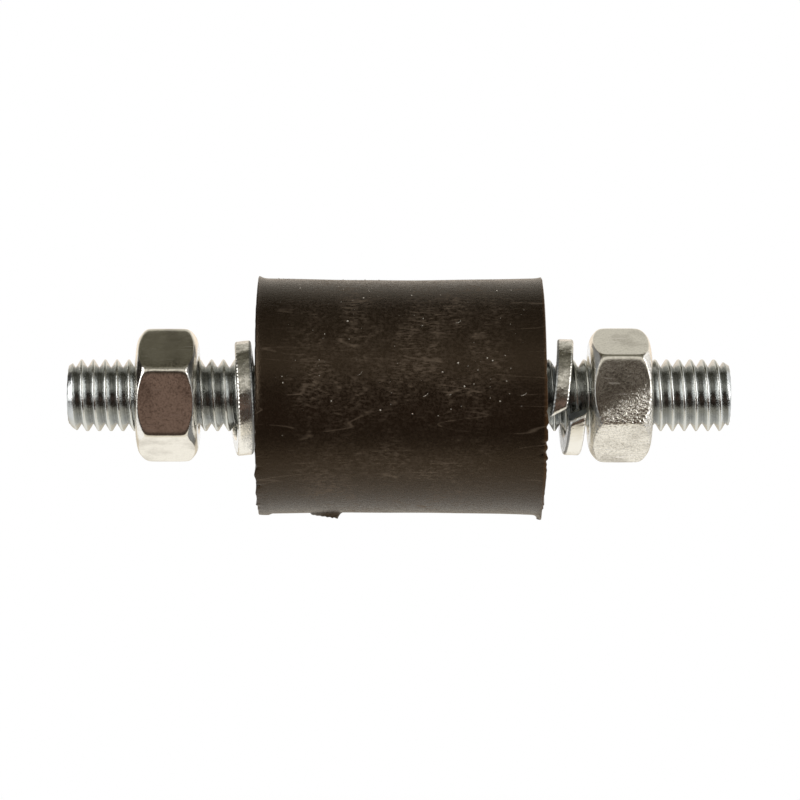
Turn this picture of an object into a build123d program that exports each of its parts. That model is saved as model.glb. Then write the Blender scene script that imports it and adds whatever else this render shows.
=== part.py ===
from build123d import *
import os
from math import cos, radians, sin, sqrt

# Bobbin vibration mount: a rubber cylinder bonded to two steel end plates, with a threaded
# stud out of each end that carries a split lock washer and a hexagon nut.
# Millimetres. X runs along the studs, Z is up, and the origin is the middle of the rubber.

# Rubber body
body_length = 24.0
body_end_diameter = 19.84
body_waist_diameter = 19.5
body_waist_length = 11.0  # of the straight middle, between two slight tapers

# Moulding flash, a thin lip that flares out at each end of the rubber
flash_width = 0.9
flash_edge = 0.1  # thickness of the lip's cut edge
flash_root = 0.3  # depth inside the body where the lip's flare begins
flash_step_width = 0.4  # from the end to where the flare grows steeper
flash_step_share = 0.4  # of the lip's height, reached there
left_flash_height = 0.18
left_flash_drop = 0.02  # how far the lip's centre lies below the stud axis
right_flash_height = 0.37
right_flash_drop = 0.2

# Torn gate of the mould, under the rubber
gate_inset = 4.55  # from the rubber's left end
gate_length = 2.5
gate_low_height = 0.15
gate_high_height = 0.45
gate_slant = 0.35  # run of its steep end
gate_width = 1.8
gate_root = 0.6

# End plates, bonded flush with the ends of the rubber
plate_rim = 0.92  # rubber left round the plate
plate_thickness = 1.5

# Studs, with a thread along the whole reach that is drawn at its crest diameter
thread_diameter = 6.0
stud_reach = 16.0
stud_tip_bevel = 0.48  # step of the bevel down to the tip
stud_tip_length = 0.7
stud_head_diameter = 10.0
stud_head_thickness = 2.2

# Split lock washers, each one turn of a left-hand helix
washer_fit = 0.5  # of the bore over the thread's diameter
washer_width = 1.65
washer_thickness = 1.36
washer_rise = 1.42  # of the helix in a full turn
washer_cut_gap = 4.3  # degrees between the two cut ends
washer_cut_slant = 25.0  # degrees between the cut and the washer's axis
washer_hang_gap = 0.02  # where the ring hangs on the thread
left_washer_play = 0.02  # from the end of the rubber to the washer
left_washer_cut = 0.0  # degrees about X from +Y to the helix's start
left_washer_lean_y = -5.6  # degrees that the ring leans about Y, and then about Z
left_washer_lean_z = 3.6
right_washer_play = 0.77
right_washer_cut = 197.0
right_washer_lean_y = 1.3
right_washer_lean_z = 0.0

# Hexagon nuts, domed on both sides in two steps
nut_across_flats = 10.0
nut_thickness = 5.2
nut_corner_radius = 0.25
nut_dome_depth = 1.25
nut_step_depth = 0.3  # where the dome's steep outer step begins
nut_step_rise = 0.81
nut_countersink = 0.3
nut_land = 0.95  # flat ring between the countersink and the dome
nut_fit = 0.02  # radial clearance over the thread
left_nut_play = 2.46  # from the washer to the nut
left_nut_turn = 7.7  # degrees about X from a corner that points up
right_nut_play = 0.44
right_nut_turn = -5.3

body_end = body_length / 2
body_end_radius = body_end_diameter / 2
body_waist_radius = body_waist_diameter / 2
thread_radius = thread_diameter / 2
washer_bore_radius = (thread_diameter + washer_fit) / 2


def end_profile_plane(side, drop=0.0):
    """Plane on an end of the rubber, with x out of that end and y up."""
    return Plane((side * body_end, 0, -drop), (side, 0, 0), (0, -side, 0))


def make_end_plate(side):
    """Steel disc with a hole for the stud."""
    with BuildPart() as end_plate:
        with BuildSketch(Plane((side * body_end, 0, 0), z_dir=(-side, 0, 0))):
            Circle(body_end_radius - plate_rim)
            Circle(thread_radius, mode=Mode.SUBTRACT)
        extrude(amount=plate_thickness)
    return end_plate.part


def make_stud(side):
    """Stud with a flat round head that lies behind the end plate."""
    head_back = -plate_thickness - stud_head_thickness
    head_radius = stud_head_diameter / 2
    with BuildPart() as stud:
        with BuildSketch(end_profile_plane(side)):
            with BuildLine():
                Polyline(
                    (head_back, 0),
                    (head_back, head_radius),
                    (-plate_thickness, head_radius),
                    (-plate_thickness, thread_radius),
                    (stud_reach - stud_tip_length, thread_radius),
                    (stud_reach, thread_radius - stud_tip_bevel),
                    (stud_reach, 0),
                    close=True,
                )
            make_face()
        revolve(axis=Axis.X)
    return stud.part


def washer_ends(play, lean_z):
    """Distances from the rubber's end to the middles of the helix's near and far ends."""
    near = play + washer_thickness / 2 - washer_bore_radius * sin(radians(lean_z))
    return near, near + washer_rise * (1 - washer_cut_gap / 360)


def make_lock_washer(side, play, cut, lean_y, lean_z):
    """Split ring, wound about Z with slanted ends and then hung on its stud, where it leans."""
    near, far = washer_ends(play, lean_z)
    middle_radius = washer_bore_radius + washer_width / 2
    slant = radians(washer_cut_slant)
    with BuildPart() as ring:
        with BuildLine() as path:
            Helix(washer_rise, far - near, middle_radius, lefthand=True)
        cut_plane = Plane((middle_radius, 0, 0), (1, 0, 0), (0, -cos(slant), -sin(slant)))
        with BuildSketch(cut_plane):
            Rectangle(washer_width, washer_thickness / cos(slant))
        sweep(path=path.line, is_frenet=True)

    axis = Vector(1, 0, 0).rotate(Axis.Y, lean_y).rotate(Axis.Z, lean_z)
    start = Vector(0, 1, 0).rotate(Axis.X, cut)
    start_x = body_end + near if side > 0 else -body_end - far
    tilt = radians(abs(lean_y))
    bore_top = washer_bore_radius * cos(tilt) - washer_thickness / 2 * sin(tilt)
    drop = bore_top - thread_radius - washer_hang_gap
    return ring.part.moved(Plane((start_x, 0, -drop), start, axis).location)


def make_nut(side, washer_far_end, play, turn):
    """Hexagon nut beyond its washer: a domed and countersunk blank, cut to six flats."""
    near = washer_far_end + washer_thickness / 2 + play
    far = near + nut_thickness
    bore = thread_radius + nut_fit
    mouth = bore + nut_countersink
    face = mouth + nut_land
    corner = nut_across_flats / sqrt(3)
    up = (0, -sin(radians(turn)), cos(radians(turn)))
    with BuildPart() as nut:
        with BuildSketch(end_profile_plane(side)):
            with BuildLine():
                Polyline(
                    (near, face),
                    (near, mouth),
                    (near + nut_countersink, bore),
                    (far - nut_countersink, bore),
                    (far, mouth),
                    (far, face),
                    (far - nut_step_depth, face + nut_step_rise),
                    (far - nut_dome_depth, corner),
                    (near + nut_dome_depth, corner),
                    (near + nut_step_depth, face + nut_step_rise),
                    close=True,
                )
            make_face()
        revolve(axis=Axis.X)
        with BuildSketch(Plane((side * (body_end + near), 0, 0), up, (side, 0, 0))) as hexagon:
            RegularPolygon(nut_across_flats / 2, 6, major_radius=False)
            fillet(hexagon.vertices(), nut_corner_radius)
        extrude(amount=nut_thickness, mode=Mode.INTERSECT)
    return nut.part


def make_flash(side, height, drop):
    """Lip on one end of the rubber: rooted in the body, it flares out to a thin cut edge."""
    tip = body_end_radius + height
    root = body_end_radius - flash_root
    inner = root - flash_edge
    with BuildPart() as flash:
        with BuildSketch(end_profile_plane(side, drop)):
            with BuildLine():
                Polyline(
                    (-flash_width, root),
                    (-flash_step_width, root + flash_step_share * (tip - root)),
                    (-flash_edge, tip),
                    (0, tip),
                    (0, inner),
                    (-flash_width, inner),
                    close=True,
                )
            make_face()
        revolve(axis=Axis((0, 0, -drop), (1, 0, 0)))
    return flash.part


def make_rubber_body(lips, bonded):
    """Waisted cylinder with a flash lip at each end and a torn gate, moulded round the steel."""
    bottom = -body_waist_radius
    waist_end = body_waist_length / 2
    gate_start = gate_inset - body_end
    gate_end = gate_start + gate_length
    with BuildPart() as rubber_body:
        with BuildSketch(Plane.XZ):
            with BuildLine():
                Polyline(
                    (-body_end, body_end_radius),
                    (-waist_end, body_waist_radius),
                    (waist_end, body_waist_radius),
                    (body_end, body_end_radius),
                    (body_end, 0),
                    (-body_end, 0),
                    close=True,
                )
            make_face()
        revolve(axis=Axis.X)
        add(lips)
        with BuildSketch(Plane.XZ):
            with BuildLine():
                Polyline(
                    (gate_start, bottom + gate_root),
                    (gate_start, bottom - gate_low_height),
                    (gate_end - gate_slant, bottom - gate_high_height),
                    (gate_end, bottom),
                    (gate_end, bottom + gate_root),
                    close=True,
                )
            make_face()
        extrude(amount=gate_width / 2, both=True)
        add(bonded, mode=Mode.SUBTRACT)
    return rubber_body.part


left_lip = make_flash(-1, left_flash_height, left_flash_drop)
right_lip = make_flash(1, right_flash_height, right_flash_drop)
steel = {
    "end_plate_left": make_end_plate(-1),
    "end_plate_right": make_end_plate(1),
    "stud_left": make_stud(-1),
    "stud_right": make_stud(1),
}
left_washer_far_end = washer_ends(left_washer_play, left_washer_lean_z)[1]
right_washer_far_end = washer_ends(right_washer_play, right_washer_lean_z)[1]
pieces = {
    **steel,
    "rubber_body": make_rubber_body([left_lip, right_lip], steel.values()),
    "lock_washer_left": make_lock_washer(
        -1, left_washer_play, left_washer_cut, left_washer_lean_y, left_washer_lean_z
    ),
    "lock_washer_right": make_lock_washer(
        1, right_washer_play, right_washer_cut, right_washer_lean_y, right_washer_lean_z
    ),
    "nut_left": make_nut(-1, left_washer_far_end, left_nut_play, left_nut_turn),
    "nut_right": make_nut(1, right_washer_far_end, right_nut_play, right_nut_turn),
}
os.makedirs("parts", exist_ok=True)
for name, piece in pieces.items():
    piece.label = name
    export_step(piece, f"parts/{name}.step")
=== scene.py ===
from functools import partial
from math import cos, pi, radians, sin, tan, tau
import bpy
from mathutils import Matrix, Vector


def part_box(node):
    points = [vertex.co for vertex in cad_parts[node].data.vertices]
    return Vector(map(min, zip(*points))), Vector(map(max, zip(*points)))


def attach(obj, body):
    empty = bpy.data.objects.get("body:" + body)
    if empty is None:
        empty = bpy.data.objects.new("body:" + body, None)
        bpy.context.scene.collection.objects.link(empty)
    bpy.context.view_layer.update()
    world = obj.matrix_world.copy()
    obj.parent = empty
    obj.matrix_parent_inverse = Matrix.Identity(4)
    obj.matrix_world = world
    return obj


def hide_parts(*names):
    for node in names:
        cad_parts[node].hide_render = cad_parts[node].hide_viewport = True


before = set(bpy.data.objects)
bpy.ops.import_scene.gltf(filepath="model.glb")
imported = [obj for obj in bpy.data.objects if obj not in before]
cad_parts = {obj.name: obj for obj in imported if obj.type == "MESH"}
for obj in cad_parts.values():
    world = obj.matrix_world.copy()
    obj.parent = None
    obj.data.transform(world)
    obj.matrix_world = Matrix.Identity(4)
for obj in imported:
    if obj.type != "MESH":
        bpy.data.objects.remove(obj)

from types import SimpleNamespace

import bmesh
import bpy
import numpy as np
from bpy.props import FloatProperty, FloatVectorProperty, IntProperty, PointerProperty
from mathutils import Matrix, Vector

# Bobbin vibration mount: a rubber cylinder between two zinc-plated studs, each with its split
# lock washer and domed hexagon nut. X runs along the studs, Z is up, and the middle of the
# rubber is the origin.

bl_info = {
    "name": "Bobbin Vibration Mount",
    "version": (1, 0, 0),
    "blender": (4, 5, 0),
    "location": "View3D > Sidebar > Mount",
    "description": "Makes a bobbin vibration mount with its studs, lock washers and nuts",
    "category": "Add Mesh",
}

MM = 0.001
BODY = "root"
SIDES = {"left": -1, "right": 1}
WHITE = (1.0, 1.0, 1.0, 1.0)
ACROSS, LEVEL = (0.0, 1.0, 1.0), (1.0, 1.0, 0.0)  # axes across the studs, and the level ones

# Kinds of node that the trees use most
MATH, VECTOR, RANGE = "ShaderNodeMath", "ShaderNodeVectorMath", "ShaderNodeMapRange"
SPLIT, COMBINE = "ShaderNodeSeparateXYZ", "ShaderNodeCombineXYZ"
NOISE, MIX = "ShaderNodeTexNoise", "ShaderNodeMix"
PRINCIPLED, GLOW = "ShaderNodeBsdfPrincipled", "ShaderNodeEmission"
SURFACE, PLACE = "ShaderNodeOutputMaterial", "ShaderNodeTexCoord"
SCATTER, INSTANCE = "GeometryNodeDistributePointsOnFaces", "GeometryNodeInstanceOnPoints"
MOVE, RANDOM = "GeometryNodeTransform", "FunctionNodeRandomValue"

# The frame's own places of the pieces along X, in millimetres
RUBBER_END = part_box("end_plate_right")[1].x / MM
STUD_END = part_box("stud_right")[1].x / MM
NUT_NEAR = {-1: -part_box("nut_left")[1].x / MM, 1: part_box("nut_right")[0].x / MM}


def linear(hex_colour):
    """Linear colour, with alpha, from an sRGB hex value."""
    parts = [int(hex_colour[i : i + 2], 16) / 255 for i in (1, 3, 5)]
    return [c / 12.92 if c <= 0.04045 else ((c + 0.055) / 1.055) ** 2.4 for c in parts] + [1.0]


def length(name, millimetres, description):
    """A size that a user can change, kept in metres."""
    return FloatProperty(
        name=name, description=description, default=millimetres * MM, unit="LENGTH", subtype="DISTANCE"
    )


def angle(name, turn, description):
    """An angle that a user can change, kept in radians."""
    return FloatProperty(
        name=name, description=description, default=radians(turn), unit="ROTATION", subtype="ANGLE"
    )


def colour(name, hex_colour, description):
    """A colour that a user can change."""
    return FloatVectorProperty(
        name=name, description=description, default=linear(hex_colour), size=4, subtype="COLOR"
    )


class MountSizes(bpy.types.PropertyGroup):
    """Sizes of the mount's pieces."""

    end_diameter: length("End Diameter", 19.84, "Rubber across its ends")
    waist_diameter: length("Waist Diameter", 19.5, "Rubber across its middle")
    body_sag: length("Body Sag", 0.19, "How much fuller the rubber is below its middle than above")
    lip_width: length("Lip Width", 1.05, "Length over which the moulding lip flares out")
    left_lip_radius: length("Left Lip Radius", 10.1, "Radius of the left lip's cut edge")
    right_lip_radius: length("Right Lip Radius", 9.99, "Radius of the right lip's cut edge")
    left_lip_hang: length("Left Lip Hang", 0.02, "How much farther the left lip flares out below")
    right_lip_hang: length("Right Lip Hang", 0.6, "How much farther the right lip flares out below")
    gate_start: length("Gate Start", -7.45, "Left end of the torn gate under the rubber")
    gate_end: length("Gate End", -4.95, "Right end of the torn gate")
    gate_height: length("Gate Height", 0.46, "Height of the torn gate at its right end")
    plate_diameter: length("Plate Diameter", 18.0, "Steel end plate across")
    plate_thickness: length("Plate Thickness", 1.5, "Steel end plate from face to face")
    thread_diameter: length("Thread Diameter", 6.08, "Stud across the crests of its thread")
    thread_root: length("Thread Root", 4.76, "Stud across the roots of its thread")
    thread_pitch: length("Thread Pitch", 1.0, "Distance from one crest to the next")
    tip_diameter: length("Tip Diameter", 5.04, "Stud across its bevelled tip")
    tip_length: length("Tip Length", 0.75, "Length of the tip's bevel")
    right_tip_wear: length("Right Tip Wear", 0.16, "What the right stud's tip has lost")
    head_diameter: length("Head Diameter", 10.0, "Stud's head inside the rubber, across")
    head_thickness: length("Head Thickness", 2.2, "Stud's head inside the rubber")
    left_washer_bore: length("Left Washer Bore", 6.72, "Left lock washer across its hole")
    left_washer_width: length("Left Washer Width", 1.46, "Left lock washer from its hole to its rim")
    right_washer_bore: length("Right Washer Bore", 6.5, "Right lock washer across its hole")
    right_washer_width: length("Right Washer Width", 1.65, "Right lock washer from its hole to its rim")
    washer_thickness: length("Washer Thickness", 1.42, "Lock washer along the stud")
    washer_rise: length("Washer Rise", 1.42, "Rise of the lock washer in a full turn")
    washer_edge: length("Washer Edge", 0.27, "Radius of the lock washer's rolled edges")
    left_washer_play: length("Left Washer Play", 0.02, "Gap from the rubber to the left lock washer")
    right_washer_play: length("Right Washer Play", 0.77, "Gap from the rubber to the right lock washer")
    left_washer_drop: length("Left Washer Drop", 0.31, "How low the left lock washer hangs")
    right_washer_drop: length("Right Washer Drop", 0.15, "How low the right lock washer hangs")
    washer_cut_gap: angle("Washer Cut Gap", 4.3, "Opening between the lock washer's ends")
    washer_cut_slant: angle("Washer Cut Slant", 25.0, "Slant of the lock washer's ends")
    nut_across_flats: length("Nut Across Flats", 10.0, "Nut from one flat to the opposite one")
    nut_thickness: length("Nut Thickness", 5.2, "Nut along the stud")
    nut_mouth: length("Nut Mouth", 6.64, "Nut's countersink across its mouth")
    left_nut_turn: angle("Left Nut Turn", 7.7, "Turn of the left nut from a corner that points up")
    right_nut_turn: angle("Right Nut Turn", -5.3, "Turn of the right nut from a corner that points up")
    dust_size: length("Dust Size", 0.05, "Radius of a middling speck of dust")


class MountColours(bpy.types.PropertyGroup):
    """Colours of the mount's finishes."""

    rubber: colour("Rubber", "#241b14", "Natural rubber with carbon black")
    rubber_bloom: colour("Rubber Bloom", "#665a4f", "Wax that has bloomed on the rubber")
    rubber_stain: colour("Rubber Stain", "#6b4c30", "Brown tint along the right rim")
    plate_zinc: colour("Plate Zinc", "#8b8d8f", "Zinc plate on the turned end plates")
    stud_zinc: colour("Stud Zinc", "#dadcda", "Zinc plate on the rolled threads")
    # a darker grey towards the roots of the threads
    thread_grime: colour("Thread Grime", "#727577", "Dull film in the roots of the threads")
    washer_zinc: colour("Washer Zinc", "#f7f5ef", "Bright zinc plate on the lock washers")
    # painted shade: grey patches that darken the lock washers' upper half
    washer_film: colour("Washer Film", "#b4b2aa", "Grey film on the lock washers' upper half")
    nut_zinc: colour("Nut Zinc", "#f4f1e9", "Bright zinc plate on the nuts")
    washer_end: colour("Washer End", "#9da2a6", "Matt grey of the lock washers' cut ends")
    nut_dull: colour("Nut Dull", "#a59f96", "Dull grains in the nuts' zinc")
    nut_speckle: colour("Nut Speckle", "#f4f1ec", "Scratches that catch the light on the nuts")
    dust: colour("Dust", "#e6e0d6", "Dust and lint on the rubber")
    floor: colour("Floor", "#f4f4f2", "Pale studio floor")


class MountCounts(bpy.types.PropertyGroup):
    """Counts and seeds of what is scattered on the mount."""

    dust_seed: IntProperty(name="Dust Seed", description="Where the dust lies", default=4, min=0)
    tear_seed: IntProperty(name="Tear Seed", description="Which bites the lips have", default=11, min=0)


def in_mm(group):
    """The group's values by name, with the lengths in millimetres."""
    values = {}
    for name in group.__annotations__:
        unit = getattr(group.bl_rna.properties[name], "unit", "NONE")
        values[name] = getattr(group, name) / (MM if unit == "LENGTH" else 1)
    return SimpleNamespace(**values)


# Building blocks


def node(tree, kind, inputs=(), operation=None, stops=(), **settings):
    """Adds a node with its settings; inputs holds values, nodes or sockets, in order or by name.

    A Map Range takes a value, the low and high ends of its range, and what they become.
    """
    made = tree.nodes.new(kind)
    if operation:
        made.operation = operation
    for name, value in settings.items():
        setattr(made, name, value)
    for key, value in inputs.items() if isinstance(inputs, dict) else enumerate(inputs):
        if isinstance(value, bpy.types.Node):
            value = value.outputs[0]
        if isinstance(value, bpy.types.NodeSocket):
            tree.links.new(value, made.inputs[key])
        else:
            made.inputs[key].default_value = value
    for place, (position, stop_colour) in enumerate(stops):
        elements = made.color_ramp.elements
        element = elements[place] if place < 2 else elements.new(position)
        element.position, element.color = position, stop_colour
    return made


def new_material(name):
    """An empty material, and the function that adds a node to it."""
    material = bpy.data.materials.new(name)
    material.use_nodes = True
    material.node_tree.nodes.clear()
    return material, partial(node, material.node_tree)


def new_tree(name, inputs, output):
    """An empty geometry node tree with its sockets, and the function that adds a node to it."""
    tree = bpy.data.node_groups.new(name, "GeometryNodeTree")
    for kind, names in inputs.items():
        for socket in names:
            tree.interface.new_socket(name=socket, in_out="INPUT", socket_type=f"NodeSocket{kind}")
    tree.interface.new_socket(name=output, in_out="OUTPUT", socket_type="NodeSocketGeometry")
    return tree, partial(node, tree)


def finish_tree(tree, parts, finish, turn=(0.0, 0.0, 0.0)):
    """Ends a geometry tree: the parts are joined, turned, made real and given their finish."""
    add = partial(node, tree)
    both = add("GeometryNodeJoinGeometry")
    for part in parts:
        tree.links.new(part.outputs[0], both.inputs[0])
    placed = add(MOVE, {"Geometry": both, "Rotation": turn})
    real = add("GeometryNodeRealizeInstances", [placed])
    finished = add("GeometryNodeSetMaterial", {"Geometry": real, "Material": finish})
    add("NodeGroupOutput", [finished])
    return tree


def places_in_mm(add):
    """The place that is shaded, in millimetres and in the mount's own frame."""
    place = add(PLACE).outputs["Object"]
    return add(VECTOR, {0: place, "Scale": 1 / MM}, "SCALE")


def distance_out(add, place, axes):
    """Distance of a place from the origin, along only the axes given as 1."""
    return add(VECTOR, [add(VECTOR, [place, axes], "MULTIPLY")], "LENGTH").outputs["Value"]


def around_x(stations, radii, count):
    """Rows of points round X, one for each station; a station or radius may change with the angle."""
    turn = np.arange(count) * tau / count
    x = np.stack([np.broadcast_to(s, turn.shape) for s in stations])
    r = np.stack([np.broadcast_to(s, turn.shape) for s in radii])
    return np.stack([x, r * np.cos(turn), r * np.sin(turn)], axis=-1)


def skin(name, rows, ring=False, crease=38):
    """Closed mesh through rows of points; the rows meet end to end, or each end closes at a point."""
    count, around = rows.shape[:2]
    index = np.arange(count * around).reshape(count, around)
    points = rows.reshape(-1, 3)
    low = index if ring else index[:-1]
    high = np.roll(index, -1, axis=0) if ring else index[1:]
    faces = np.stack([low, np.roll(low, -1, 1), np.roll(high, -1, 1), high], axis=-1)
    faces = faces.reshape(-1, 4).tolist()
    if not ring:
        points = np.vstack([points, rows[0].mean(0), rows[-1].mean(0)])
        for rim, pole in ((index[0], count * around), (index[-1], count * around + 1)):
            faces += np.stack([rim, np.roll(rim, -1), np.full(around, pole)], axis=-1).tolist()
    mesh = bpy.data.meshes.new(name)
    mesh.from_pydata((points * MM).tolist(), [], faces)
    finish_mesh(mesh, crease)
    return mesh


def finish_mesh(mesh, crease):
    """Merges doubles, turns the faces outwards and shades them smooth up to the crease's angle."""
    shape = bmesh.new()
    shape.from_mesh(mesh)
    bmesh.ops.remove_doubles(shape, verts=shape.verts, dist=0.0005 * MM)
    bmesh.ops.recalc_face_normals(shape, faces=shape.faces)
    shape.to_mesh(mesh)
    shape.free()
    mesh.shade_smooth()
    mesh.set_sharp_from_angle(angle=radians(crease))


def add_piece(name, mesh, material, slot, *nodes):
    """Puts a mesh into the scene as a piece of the mount that stands for its CAD nodes."""
    piece = bpy.data.objects.new(name, mesh)
    bpy.context.scene.collection.objects.link(piece)
    if not mesh.materials:
        mesh.materials.append(material)
    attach(piece, BODY)
    if nodes:
        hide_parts(*nodes)
    return piece


def applied(name, carrier, tree, inputs):
    """Plain mesh of a node tree run on the carrier object, which is then removed."""
    modifier = carrier.modifiers.new(tree.name, "NODES")
    modifier.node_group = tree
    for socket in tree.interface.items_tree:
        if socket.in_out == "INPUT" and socket.name in inputs:
            modifier[socket.identifier] = inputs[socket.name]
    bpy.context.view_layer.update()
    evaluated = carrier.evaluated_get(bpy.context.evaluated_depsgraph_get())
    mesh = bpy.data.meshes.new_from_object(evaluated)
    mesh.name = name
    bpy.data.objects.remove(carrier)
    return mesh


# Rubber body

RUBBER_COLUMNS, RUBBER_ROWS = 480, 150
# Distances from the rubber's end to the rows of its lip, in millimetres. The cut edge is LIP_EDGE
# thick, and its very last row is drawn in, which softens it.
LIP_EDGE, LIP_DRAWN_IN = 0.1, 0.03
LIP_ROWS = (0.9, 0.8, 0.7, 0.6, 0.5, 0.42, 0.34, 0.27, 0.2, 0.15, 0.1, 0.06, 0.03, 0.0)
# Bites and tags in a lip's edge: how many, how wide, and how far in or out, in millimetres
TEARS, TEAR_WIDTHS, TEAR_DEPTHS = 100, (0.12, 0.36), (-0.19, 0.13)


def torn_edge(turn, radius, seed):
    """Bites and tags in a cut rubber edge, in millimetres, all round it and deepest below."""
    random = np.random.default_rng(seed)
    edge = np.zeros_like(turn)
    for _ in range(TEARS):
        middle = random.uniform(0, tau)
        width = random.uniform(*TEAR_WIDTHS) / radius
        depth = random.uniform(*TEAR_DEPTHS)
        away = (turn - middle + pi) % tau - pi
        edge += depth * np.exp(-((away / width) ** 2))
    return edge * np.clip(0.45 - np.sin(turn), 0.12, 1)


# Sine of the angle about X, from the bottom up, and how far each rim stands out there
RIM_SWELL = {
    -1: ((-1, -0.06), (-0.8, 0.0), (0.7, 0.0), (1, -0.08)),
    1: (
        (-1, -0.14), (-0.85, -0.1), (-0.7, 0.03), (-0.5, 0.15),
        (-0.25, 0.08), (0.4, -0.06), (1, -0.07),
    ),
}


def rubber_mesh(size, seed):
    """Waisted cylinder with flared, torn lips and a torn gate, and with pockets for the steel."""
    turn = np.arange(RUBBER_COLUMNS) * tau / RUBBER_COLUMNS
    up = np.sin(turn)
    end_radius, waist_radius = size.end_diameter / 2, size.waist_diameter / 2
    plate_radius, head_radius = size.plate_diameter / 2, size.head_diameter / 2
    plate_back = RUBBER_END - size.plate_thickness

    def waist(x):
        # the rubber is fuller below, and a little more so towards the right
        fuller = size.body_sag * (1 + 0.3 * x / RUBBER_END) * np.clip(-up, 0, 1)
        return waist_radius + (end_radius - waist_radius) * (x / RUBBER_END) ** 2 + fuller

    def lip(side, radius, hang):
        tear = torn_edge(turn, radius, seed + side)
        edge = radius + hang * np.clip(-up, 0, 1) ** 3 + 0.5 * tear
        swell = np.interp(up, *zip(*RIM_SWELL[side]))
        stations, radii = [], []
        for back in LIP_ROWS:
            share = min((size.lip_width - back) / (size.lip_width - LIP_EDGE), 1.0) ** 3
            r = waist(RUBBER_END - back) * (1 - share) + edge * share
            stations.append(side * (RUBBER_END - back + (tear + swell) * share))
            radii.append(r - LIP_DRAWN_IN * (back == 0))
        # the end face, and the pocket for the plate and the stud's head
        for x, r in (
            (RUBBER_END, plate_radius + 0.5),
            (RUBBER_END, plate_radius + 0.06),
            (RUBBER_END - 0.06, plate_radius),
            (plate_back, plate_radius),
            (plate_back, head_radius),
            (plate_back - size.head_thickness, head_radius),
        ):
            stations.append(side * x)
            radii.append(r)
        return stations, radii

    left = lip(-1, size.left_lip_radius, size.left_lip_hang)
    right = lip(1, size.right_lip_radius, size.right_lip_hang)
    stations, radii = left[0][::-1], left[1][::-1]
    gate_x = (size.gate_start - 0.12, size.gate_start, size.gate_end - 0.35, size.gate_end)
    gate_heights = (0.0, 0.16, size.gate_height, 0.0)
    gate_half_width, gate_side = 0.95, 0.3
    reach = RUBBER_END - size.lip_width
    for x in np.linspace(-reach, reach, RUBBER_ROWS + 2)[1:-1]:
        # the mould left the body a hundredth of a millimetre out of round
        r = waist(x) + 0.012 * np.sin(3 * turn + 0.4 * x) + 0.008 * np.sin(0.9 * x + 2 * turn)
        across = waist(x) * np.cos(turn)
        window = np.clip((gate_half_width - np.abs(across)) / gate_side, 0, 1) * (up < 0)
        # the gate was torn off, so its face is ragged
        ragged = 1 + 0.22 * np.sin(9 * x + 5 * across) * np.cos(4 * across - 6 * x)
        stations.append(x)
        radii.append(r + np.interp(x, gate_x, gate_heights) * window * ragged)
    return skin("rubber_body", around_x(stations + right[0], radii + right[1], RUBBER_COLUMNS))


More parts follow.
